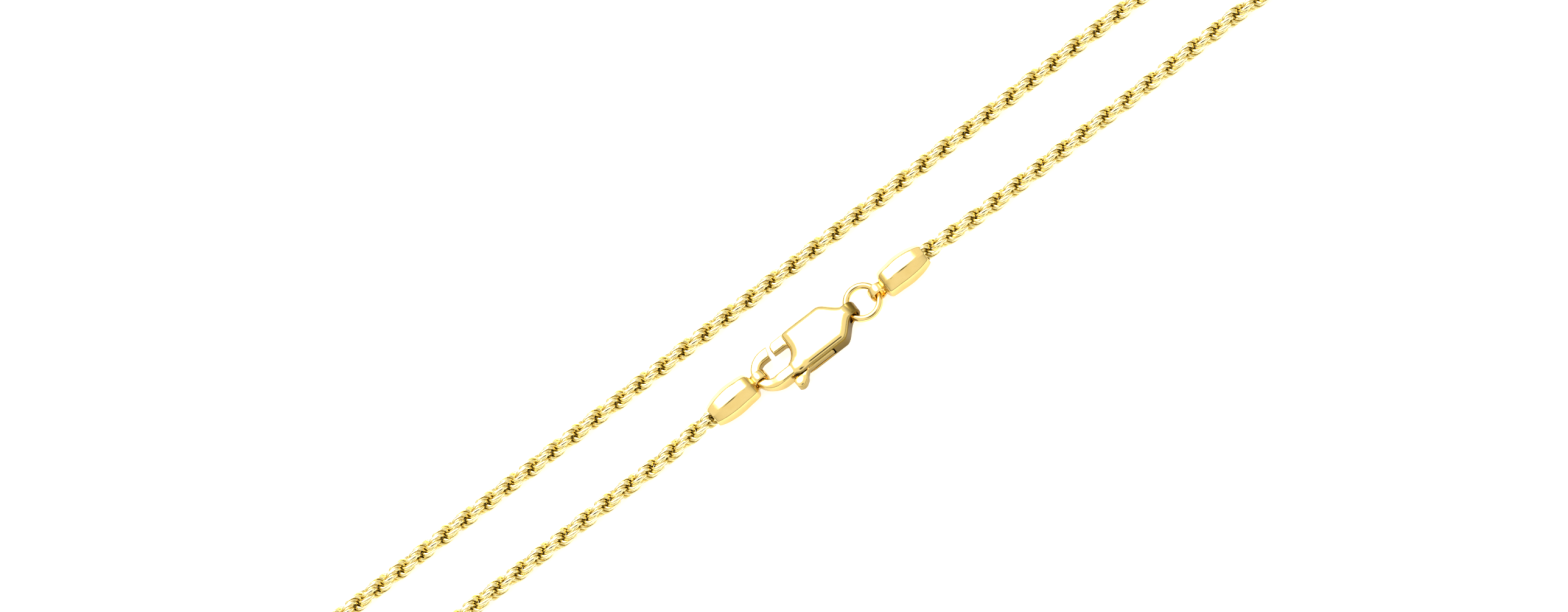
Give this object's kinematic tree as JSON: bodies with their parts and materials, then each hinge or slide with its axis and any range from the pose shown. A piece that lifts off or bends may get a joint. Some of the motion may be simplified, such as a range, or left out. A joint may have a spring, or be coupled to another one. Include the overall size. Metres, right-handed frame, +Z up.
{
  "type": "rope chain necklace",
  "caption": "Closed neck chain of twisted rope links with faceted end caps, a lobster clasp with a sprung lever and a jump ring, lying flat.",
  "frame": {"origin": "middle of the loop, on the surface that it lies on", "axes": "+X along the two straight strands, from the clasp's hook towards its jump ring; +Y from the strand with the clasp to the plain strand; +Z up from the surface"},
  "size_m": [0.2092, 0.031, 0.0026],
  "materials": {
    "link_gold": "polished yellow gold wire, faceted on the rope's outside",
    "cap_gold": "polished yellow gold, stamped and faceted",
    "cast_gold": "polished yellow gold, cast and tumbled",
    "pin_gold": "plain drawn yellow gold wire",
    "ring_gold": "polished round yellow gold wire"
  },
  "bodies": {
    "necklace": {"rope_chain": "link_gold", "hook_end_cap": "cap_gold", "ring_end_cap": "cap_gold", "clasp_body": "cast_gold", "pivot_pin": "pin_gold", "jump_ring": "ring_gold"},
    "lever": {"clasp_lever": "cast_gold"}
  },
  "joints": [
    {"name": "lever_hinge", "type": "hinge", "parent": "necklace", "child": "lever", "pos_m": [-0.0013, -0.00297, 0.001], "axis": [0, 0, 1], "range_deg": [0, 28], "stiffness_Nm_per_rad": 0.004}
  ]
}
